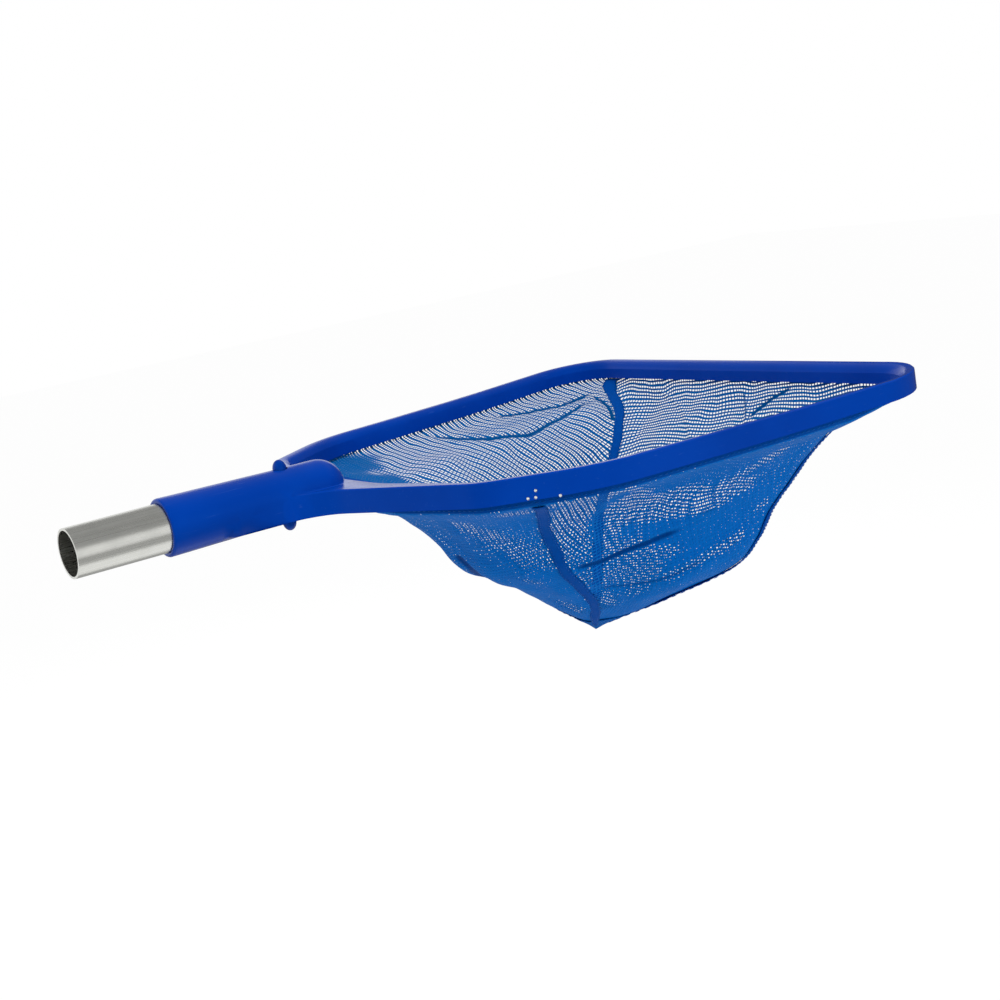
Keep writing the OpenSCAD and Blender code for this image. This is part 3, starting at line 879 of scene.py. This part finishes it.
def capsule(bm, a, b, radius):
    """A short stitch of thread from a to b."""
    made = bmesh.ops.create_icosphere(bm, subdivisions=1, radius=1)["verts"]
    shape = Matrix.Diagonal((radius, radius, (b - a).length / 2 + radius * 0.6, 1))
    bmesh.ops.transform(bm, matrix=Matrix.Translation((a + b) / 2) @ facing(b - a) @ shape, verts=made)


# ---------------------------------------------------------------- pieces

cuts = {}  # each panel's piece, with the width, length and area of its flat cut in metres
sewn = {}  # what is sewn to the panels

# Shares of the bag's depth at which the mesh and the seam tapes end, and which the tip's patch covers
MESH_END, TAPE_END = 0.985, 0.965
PATCH_START, PATCH_DEPTH = 0.93, 0.06
ROWS_PACKED = 1.5  # the power by which the mesh's rows of faces crowd towards the hem
CUT_SPARE = 1.04  # the cut's length over the even surface's, which has no folds
FULL_CUT = 0.97  # the share of its rectangle below which a cut counts as not full; the test's result is not used
# Sizes in millimetres
TUCKED = 0.9  # how far the mesh's first row reaches up into the hem
BAND_TOP, BAND_HALF = 7.4, 0.62  # from the rim's top down to the hem band's, and half the band's thickness
BAND_CLEAR = 2  # the least that shows under the rim where the band has stitches
TAPE_WIDTH, TAPE_WALL = 7.4, 0.3
HEM_THREAD, SEAM_THREAD = 0.28, 0.24  # the threads' radii
PIN_RADIUS = 0.95
PIN_FLATNESS = 0.45  # a pin's height over its radius
# Each pin's length along the rim's outer edge and its height
PINS = ((-157, -12), (-161.5, -12), (-162, -8), (-175.5, -13))


class SKIMMER_OT_moulding(Operator):
    """Dress the moulded hoop and socket in glossy, clouded plastic, shaded smooth between its sharp edges"""

    bl_idname = "skimmer.moulding"
    bl_label = "Moulding"

    def execute(self, context):
        look = context.scene.skimmer_moulding
        bm = bmesh.new()
        bm.from_mesh(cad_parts["frame_moulding"].data)
        bmesh.ops.remove_doubles(bm, verts=bm.verts, dist=0.00002)
        flat = math.radians(0.6)
        bmesh.ops.dissolve_limit(bm, angle_limit=flat, verts=bm.verts, edges=bm.edges, delimit={"NORMAL"})
        bmesh.ops.triangulate(bm, faces=[f for f in bm.faces if len(f.verts) > 4])
        mesh = mesh_from("Moulded_frame", bm)
        skin = plastic("Blue moulding", look.colour, look.gloss)
        as_piece("Moulded_frame", mesh, skin, ["frame_moulding"])
        mesh.set_sharp_from_angle(angle=math.radians(30))
        return {"FINISHED"}


class SKIMMER_OT_pole(Operator):
    """Give the aluminium pole its drawn, anodised surface"""

    bl_idname = "skimmer.pole"
    bl_label = "Pole"

    def execute(self, context):
        look = context.scene.skimmer_pole
        coat("pole", aluminium("Drawn aluminium", look.colour, look.roughness))
        return {"FINISHED"}


class SKIMMER_OT_clip(Operator):
    """Colour the spring clip, the retaining strips and the hem's cord"""

    bl_idname = "skimmer.clip"
    bl_label = "Clip, strips and cord"

    def execute(self, context):
        look = context.scene.skimmer_moulding
        shiny = plastic("Clip plastic", [c * 0.8 for c in look.colour], 0.12, 0.3, 0.6)
        dull = plastic("Strip plastic", [c * 0.7 for c in look.colour], 0.55, 0.2)
        for name in ("clip_bow", "clip_arm_upper", "clip_arm_lower"):
            coat(name, shiny)
        for name in ("strip_far", "strip_near"):
            coat(name, dull)
        coat("hem_cord", sewing_thread("Hem cord", (0.6, 0.62, 0.66)))
        return {"FINISHED"}


def panel_piece(name, look, skin):
    """One mesh panel with its folds, and the flat size of its cut: (piece, width, length, area) in metres."""
    a, b = PANELS[name]
    a, b = a + SEWN / 2, b - SEWN / 2
    columns, rows = look.columns, look.rows
    folds, stretched, gathered = (on_panel(table, name) for table in (FOLDS, STRETCHED, GATHERED))
    back = HEM.length if name == "near" else 0
    s_of = [a + (b - a) * i / columns for i in range(columns + 1)]
    f_of = [MESH_END * (j / rows) ** ROWS_PACKED for j in range(rows + 1)]
    even = [[sewn_point(s, f) for f in f_of] for s in s_of]
    made, state = [], []
    for i, s in enumerate(s_of):
        held = limited(min(s - a, b - s) / 6)
        ease = AT_EASE[name][0] + (AT_EASE[name][1] - AT_EASE[name][0]) * i / columns
        i0, i1 = max(i - 1, 0), min(i + 1, columns)
        made.append([])
        state.append([])
        for j, f in enumerate(f_of):
            j0, j1 = max(j - 1, 0), min(j + 1, rows)
            p = even[i][j]
            along, down = even[i1][j] - even[i0][j], even[i][j1] - even[i][j0]
            out = along.cross(down).normalized()
            here = (s + lean(s, f) - back, f)
            scale = (along.length / (s_of[i1] - s_of[i0]), down.length / (f_of[j1] - f_of[j0]))
            push, sharp = folded(here, folds, scale)
            lift = slack_at(name, s, f, p, look.slack / MM) + push * held * limited(f / 0.03)
            # The first row is tucked into the hem.
            made[i].append(p + out * lift + Vector((0, 0, 0 if j else TUCKED)))
            state[i].append((openness(here, p, ease, stretched, gathered, scale), sharp))
    # The flat cut: each row is laid out level on both sides of the panel's middle column.
    middle = columns // 2
    down = [0.0]
    for j in range(rows):
        down.append(down[-1] + (even[middle][j + 1] - even[middle][j]).length)
    over = [[0.0] * (rows + 1) for _ in range(columns + 1)]
    for j in range(rows + 1):
        for i in range(middle, columns):
            over[i + 1][j] = over[i][j] + (even[i + 1][j] - even[i][j]).length
        for i in range(middle, 0, -1):
            over[i - 1][j] = over[i][j] - (even[i - 1][j] - even[i][j]).length
    turn = Matrix.Rotation(math.radians(-TURNED[name]), 2)

    def on_cloth(i, j):
        return turn @ Vector((over[i][j], down[j])) * MM

    bm = bmesh.new()
    where = grid(bm, columns, rows, lambda i, j: made[i][j], on_cloth)
    write_map(bm, where, "State", lambda i, j: state[i][j])
    area = sum(f.calc_area() for f in bm.faces) * MM * MM
    piece = finished("Mesh_" + name, bm, skin, ["bag_" + name])
    return piece, (over[-1][0] - over[0][0]) * MM, down[-1] * MM, area


class SKIMMER_OT_bag(Operator):
    """Sew the four mesh panels of the bag, with their folds"""

    bl_idname = "skimmer.bag"
    bl_label = "Mesh panels"

    def execute(self, context):
        look = context.scene.skimmer_bag
        for name in PANELS:
            skin = open_mesh("Open mesh, " + name, look, RIBBED[name], THINNED[name])
            cuts[name] = panel_piece(name, look, skin)
        return {"FINISHED"}


def band_ring(s):
    """The hem band's section at s: down from inside the channel, round its fold under the rim and up."""
    p, out = HEM(s), HEM.side(s)
    top, low = rim_top(p.x) - BAND_TOP, band_foot(p)
    bulge, curl = BAND_HALF + 0.02, BAND_HALF * 0.75
    side = ((BAND_HALF, top), (BAND_HALF, low + 1.6), (bulge, low + 0.7), (curl, low + 0.15))
    ring = []
    for w, z in (*((-w, z) for w, z in side), (0, low), *reversed(side)):
        q = p + out * w
        ring.append(Vector((POLE_END + q.x, q.y, z)))
    return ring


def hem_stitches(pitch):
    """Two rows of stitches in the hem band, one on each face, where it hangs clear of the rim."""
    bm = bmesh.new()
    count = round(HEM.length / pitch)
    raised, up, gap = 0.68, 1.7, 0.32
    for k in range(count):
        s = HEM.length * k / count
        p = HEM(s)
        if band_low(p) < BAND_CLEAR:
            continue
        for face in (-1, 1):
            ends = []
            for t in (s - gap * pitch, s + gap * pitch):
                q = HEM(t) + HEM.side(t) * raised * face
                ends.append(Vector((POLE_END + q.x, q.y, band_foot(p) + up)))
            capsule(bm, *ends, HEM_THREAD)
    return bm


class SKIMMER_OT_hem(Operator):
    """Make the folded hem band that the hoop's channel holds, with its rows of stitches"""

    bl_idname = "skimmer.hem"
    bl_label = "Hem band"

    def execute(self, context):
        look = context.scene.skimmer_bag
        columns = 420
        rings = [band_ring(HEM.length * i / columns) for i in range(columns)]
        sides = len(rings[0]) - 1
        drop = [0.0]
        for j in range(sides):
            drop.append(drop[-1] + (rings[0][j + 1] - rings[0][j]).length)
        bm = bmesh.new()
        grid(
            bm, columns, sides,
            lambda i, j: rings[i % columns][j].copy(),
            lambda i, j: (HEM.length * i / columns * MM, drop[j] * MM),
        )
        bmesh.ops.remove_doubles(bm, verts=bm.verts, dist=0.001)
        # Closes the top, which lies inside the channel.
        bmesh.ops.bridge_loops(bm, edges=[e for e in bm.edges if e.is_boundary])
        bmesh.ops.recalc_face_normals(bm, faces=bm.faces)
        tape = woven_tape("Hem tape", look.tape_colour)
        thread = sewing_thread("Sewing thread", look.thread_colour)
        sewn["hem"] = finished("Hem_band", bm, tape, ["hem_band"])
        sewn["hem stitches"] = finished("Hem_stitches", hem_stitches(look.stitch / MM), thread)
        return {"FINISHED"}


class Seam:
    """The tape that binds the seam at q, whose edges waver. Widths are across the seam, in millimetres."""

    def __init__(self, q):
        self.q, self.seed = q, q * 0.37

    def width(self, f, side):
        """From the seam to the tape's edge on one side."""
        wave = 0.55 * math.sin(f * 31 + self.seed + side) + 0.4 * math.sin(f * 57 + self.seed * 2 + side * 2)
        return (TAPE_WIDTH / 2 + wave * 0.55) * (1 - 0.35 * limited((f - 0.85) / 0.12))

    def at(self, f, w, height):
        """The point w to the side of the seam at the depth f, and a height out of the bag's even surface."""
        c, g = self.q + lean(self.q, f), max(f, 0.01)
        scale = (bag_point(c + 1, f) - bag_point(c - 1, f)).length / 2
        # A slanting stretch of the seam is wider along the hem.
        run = (sewn_point(self.q, g + 0.01) - sewn_point(self.q, g - 0.01)).length
        slant = (lean(self.q, g + 0.01) - lean(self.q, g - 0.01)) * scale / run
        s = c + w / max(scale, 0.05) / max(math.sqrt(max(0, 1 - slant * slant)), 0.6)
        return bag_point(s, f) + bag_out(s, f) * height

    def tape_point(self, f, t, face):
        """The tape's surface at the share t of its half width, on the outer or the inner face of the bag."""
        w = t * self.width(f, 1 if t > 0 else -1)
        lift = 0.75 + 0.45 * (1 - t * t) ** 0.5 + 0.12 * math.sin(f * 90 + self.seed + t)
        return self.at(f, w, lift * face)

    def stitches(self, bm, face, side, count):
        """A row of stitches beside one edge of the tape."""
        inset, raised, gap = 1.1, 1.22, 0.3
        for k in range(1, count):
            shares = [TAPE_END * (k + t) / count for t in (-gap, gap)]
            ends = [self.at(f, side * (self.width(f, side) - inset), face * raised) for f in shares]
            capsule(bm, *ends, SEAM_THREAD)


class SKIMMER_OT_seams(Operator):
    """Bind the four seams with folded tape, inside and outside, and stitch it down"""

    bl_idname = "skimmer.seams"
    bl_label = "Seam bindings"

    def execute(self, context):
        look = context.scene.skimmer_bag
        tape = woven_tape("Seam tape", look.tape_colour)
        thread = sewing_thread("Seam thread", look.thread_colour)
        rows, across = 90, 8
        for name, q in (
            ("rear_far", SEAM_BACK), ("rear_near", HEM.length - SEAM_BACK),
            ("front_far", SEAM_FORE), ("front_near", HEM.length - SEAM_FORE),
        ):
            seam, bm, thread_bm = Seam(q), bmesh.new(), bmesh.new()
            shares = [TAPE_END * j / rows for j in range(rows + 1)]
            downs = [0.0]
            for f, g in zip(shares, shares[1:]):
                downs.append(downs[-1] + (sewn_point(q, g) - sewn_point(q, f)).length)
            for face in (1, -1):
                grid(
                    bm, across, rows,
                    lambda i, j: seam.tape_point(shares[j], 2 * i / across - 1, face),
                    lambda i, j: ((i / across - 0.5) * TAPE_WIDTH * MM, downs[j] * MM),
                )
                for side in (-1, 1):
                    seam.stitches(thread_bm, face, side, int(downs[-1] / (look.stitch / MM)))
            bmesh.ops.solidify(bm, geom=bm.faces[:], thickness=TAPE_WALL)
            sewn["seam " + name] = finished("Seam_binding_" + name, bm, tape, ["seam_" + name])
            sewn["stitch " + name] = finished("Seam_stitches_" + name, thread_bm, thread)
        return {"FINISHED"}


class SKIMMER_OT_tip(Operator):
    """Gather the bag's tip under a sewn patch"""

    bl_idname = "skimmer.tip"
    bl_label = "Bag tip"

    def execute(self, context):
        look = context.scene.skimmer_bag
        columns, rows, puckers = 64, 8, 9

        def place(i, j):
            if j == rows:
                return Vector((POLE_END + TIP.x, 0, -DEPTH - 0.7))
            s = HEM.length * (i % columns) / columns
            f = PATCH_START + PATCH_DEPTH * j / rows
            pucker = 0.5 * math.sin(puckers * 2 * math.pi * i / columns) * (1 - j / rows)
            return bag_point(s, f) + bag_out(s, f) * (0.9 + 0.3 * pucker)

        bm = bmesh.new()
        grid(bm, columns, rows, place, lambda i, j: (i * 0.8 * MM, j * 1.1 * MM))
        bmesh.ops.remove_doubles(bm, verts=bm.verts, dist=0.02)
        bmesh.ops.recalc_face_normals(bm, faces=bm.faces)
        skin = woven_tape("Tip patch", look.mesh_colour, 0.0011)
        sewn["tip"] = finished("Bag_tip", bm, skin, ["bag_tip"])
        wall = sewn["tip"].modifiers.new("Thickness", "SOLIDIFY")
        wall.thickness, wall.offset = 0.6 * MM, -1
        return {"FINISHED"}


class SKIMMER_OT_fasteners(Operator):
    """Set the small bright pins through the rim beside the near seam"""

    bl_idname = "skimmer.fasteners"
    bl_label = "Pins"

    def execute(self, context):
        nickel, shader = material("Nickel", Metallic=1.0, Roughness=0.25)
        grain = clouds(object_place(nickel), 900, 3)
        colour = mix_colour(remap(grain, 0.4, 0.7), (0.92, 0.92, 0.9), (0.6, 0.62, 0.65))
        socket(shader["Base Color"], colour)
        socket(shader["Normal"], bump(grain, 0.00003, 0.5))
        outer = Loop(offset_loop(INNER, RIM_WIDTH))
        bm = bmesh.new()
        for s, z in PINS:
            p, out = outer(s), outer.side(s)
            made = bmesh.ops.create_icosphere(bm, subdivisions=3, radius=PIN_RADIUS)["verts"]
            turn = Matrix.Translation((POLE_END + p.x, p.y, z)) @ facing(Vector((out.x, out.y, 0)))
            bmesh.ops.transform(bm, matrix=turn @ Matrix.Diagonal((1, 1, PIN_FLATNESS, 1)), verts=made)
        finished("Rim_pins", bm, nickel)
        return {"FINISHED"}


class SKIMMER_OT_declare(Operator):
    """Print the cut size and area of each mesh panel"""

    bl_idname = "skimmer.declare"
    bl_label = "Cut sizes"

    def execute(self, context):
        for name, (piece, width, length, area) in cuts.items():
            print(f"cut {name}: {width * 1000:.0f} x {length * 1000:.0f} mm, area {area:.4f}")
            round(length * CUT_SPARE, 3)
            None if area >= FULL_CUT * width * length else area
        return {"FINISHED"}


# ---------------------------------------------------------------- stage

CAMERA_AT = (-0.3307, -0.9819, 0.1848)
CAMERA_RIGHT, CAMERA_UP = Vector((0.81567, -0.55529, -0.16229)), Vector((0.24033, 0.07006, 0.96816))
CAMERA_AHEAD = Vector((0.52624, 0.8287, -0.19061))
LENS, FILM = 64.8, 36


def glow(tree, grey, strength):
    """A shader that gives off grey light."""
    inputs = {"Color": (grey, grey, grey), "Strength": strength}
    return results(tree, "ShaderNodeEmission", inputs)["Emission"]


def seen(tree):
    """1 for the camera's rays and for those that shiny or clear surfaces send on."""
    rays = results(tree, "ShaderNodeLightPath")
    sent_on = maths("MAXIMUM", rays["Is Glossy Ray"], rays["Is Transmission Ray"])
    return maths("MAXIMUM", rays["Is Camera Ray"], sent_on)


def grey_card(name, grey, rows):
    """A card that only the shiny surfaces see."""
    bm = bmesh.new()
    rows = [[bm.verts.new(place) for place in row] for row in rows]
    for p, q in zip(rows, rows[1:]):
        bm.faces.new((p[0], p[1], q[1], q[0]))
    card = in_scene(name, mesh_from(name, bm))
    tone = bpy.data.materials.new(name)
    tone.use_nodes = True
    tree = tone.node_tree
    socket(tree.nodes["Material Output"].inputs["Surface"], glow(tree, grey, 1.0))
    card.data.materials.append(tone)
    card.visible_camera = card.visible_diffuse = card.visible_shadow = card.visible_transmission = False


def pale_floor(height):
    """A floor that takes shadows and shows nearly white."""
    bm = bmesh.new()
    bmesh.ops.create_grid(bm, x_segments=2, y_segments=2, size=6)
    bmesh.ops.translate(bm, vec=(0.3, 0.5, height), verts=bm.verts)
    floor = in_scene("Floor", mesh_from("Floor", bm))
    paper = material("White paper", Base_Color=(0.82, 0.82, 0.82), Roughness=0.9)[0]
    tree = paper.node_tree
    lit = Value(tree.nodes["Principled BSDF"].outputs["BSDF"])
    mixed = results(tree, "ShaderNodeMixShader", {0: seen(tree) * 0.8, 1: lit, 2: glow(tree, 1, 1.1)})
    socket(tree.nodes["Material Output"].inputs["Surface"], mixed["Shader"])
    floor.data.materials.append(paper)


def pale_world(ambient):
    """Even light from all sides, which itself shows white."""
    world = bpy.data.worlds.new("Studio")
    bpy.context.scene.world = world
    world.use_nodes = True
    background = world.node_tree.nodes["Background"].inputs
    socket(background["Strength"], seen(world.node_tree) * (1 - ambient) + ambient)
    socket(background["Color"], (1, 1, 1))


class SKIMMER_OT_stage(Operator):
    """Set the pale floor, the soft lamps and the camera"""

    bl_idname = "skimmer.stage"
    bl_label = "Stage"

    def execute(self, context):
        look = context.scene.skimmer_stage
        pale_floor(-look.floor)
        pale_world(look.ambient)
        for name, place, aim, size, power in (
            ("Key", (-0.25, -0.55, 1.1), (0.3, 0, 0), (0.9, 0.7), look.key),
            ("Fill", (0.9, -1.3, 0.3), (0.35, 0, -0.05), (0.8, 0.8), look.key * 0.45),
            ("Back", (0.9, 1.2, 0.7), (0.35, 0, -0.05), (0.8, 0.6), look.key * 0.4),
        ):
            lamp = bpy.data.lights.new(name, "AREA")
            lamp.shape, lamp.size, lamp.size_y, lamp.energy = "RECTANGLE", *size, power
            holder = in_scene(name, lamp)
            holder.location = place
            holder.rotation_euler = (Vector(aim) - Vector(place)).to_track_quat("-Z", "Y").to_euler()
            holder.visible_glossy = False

        # Grey cards that the shiny surfaces mirror, bent round the pole's axis: the arc, in degrees from the
        # far side over the top, its radius and the card's brightness
        for name, start, end, radius, grey in (
            ("Grey card above", 30, 161, 1.6, 0.36),
            ("Grey card in front", 199, 236, 0.46, 0.45),
            ("Grey card behind", 292, 340, 0.46, 0.42),
        ):
            arc = [math.radians(start + (end - start) * i / 24) for i in range(25)]
            edge = [(radius * math.cos(a), radius * math.sin(a)) for a in arc]
            grey_card(name, grey, [[(-1, *place), (3, *place)] for place in edge])
        grey_card("Grey card at the end", 0.08, [[(1.2, y, z) for z in (-0.45, 0.7)] for y in (-1.6, 0.9)])

        lens = bpy.data.cameras.new("Camera")
        lens.lens, lens.sensor_width, lens.sensor_height = LENS, FILM, FILM
        lens.clip_start, lens.clip_end = 0.01, 50
        camera = in_scene("Camera", lens)
        turn = Matrix((CAMERA_RIGHT, CAMERA_UP, -CAMERA_AHEAD)).transposed().to_4x4()
        camera.matrix_world = Matrix.Translation(CAMERA_AT) @ turn
        context.scene.camera = camera
        context.scene.view_settings.view_transform = "Standard"
        return {"FINISHED"}


class SKIMMER_PT_panel(Panel):
    """Lists the skimmer's pieces and their settings"""

    bl_idname = "SKIMMER_PT_panel"
    bl_label = "Leaf skimmer"
    bl_space_type = "VIEW_3D"
    bl_region_type = "UI"
    bl_category = "Skimmer"

    def draw(self, context):
        column = self.layout.column()
        for group in ("skimmer_moulding", "skimmer_pole", "skimmer_bag", "skimmer_stage"):
            settings = getattr(context.scene, group)
            for name in settings.__annotations__:
                column.prop(settings, name)
        for operator in OPERATORS:
            column.operator(operator.bl_idname)


SETTINGS = {
    "skimmer_moulding": MouldingSettings,
    "skimmer_pole": PoleSettings,
    "skimmer_bag": BagSettings,
    "skimmer_stage": StageSettings,
}
OPERATORS = (
    SKIMMER_OT_stage,
    SKIMMER_OT_moulding,
    SKIMMER_OT_pole,
    SKIMMER_OT_clip,
    SKIMMER_OT_bag,
    SKIMMER_OT_hem,
    SKIMMER_OT_seams,
    SKIMMER_OT_tip,
    SKIMMER_OT_fasteners,
    SKIMMER_OT_declare,
)
CLASSES = (*SETTINGS.values(), *OPERATORS, SKIMMER_PT_panel)


def register():
    for cls in CLASSES:
        bpy.utils.register_class(cls)
    for name, cls in SETTINGS.items():
        setattr(bpy.types.Scene, name, PointerProperty(type=cls))


def unregister():
    for name in SETTINGS:
        delattr(bpy.types.Scene, name)
    for cls in reversed(CLASSES):
        bpy.utils.unregister_class(cls)


def main():
    register()
    for operator in OPERATORS:
        group, name = operator.bl_idname.split(".")
        getattr(getattr(bpy.ops, group), name)()


if __name__ == "__main__":
    main()
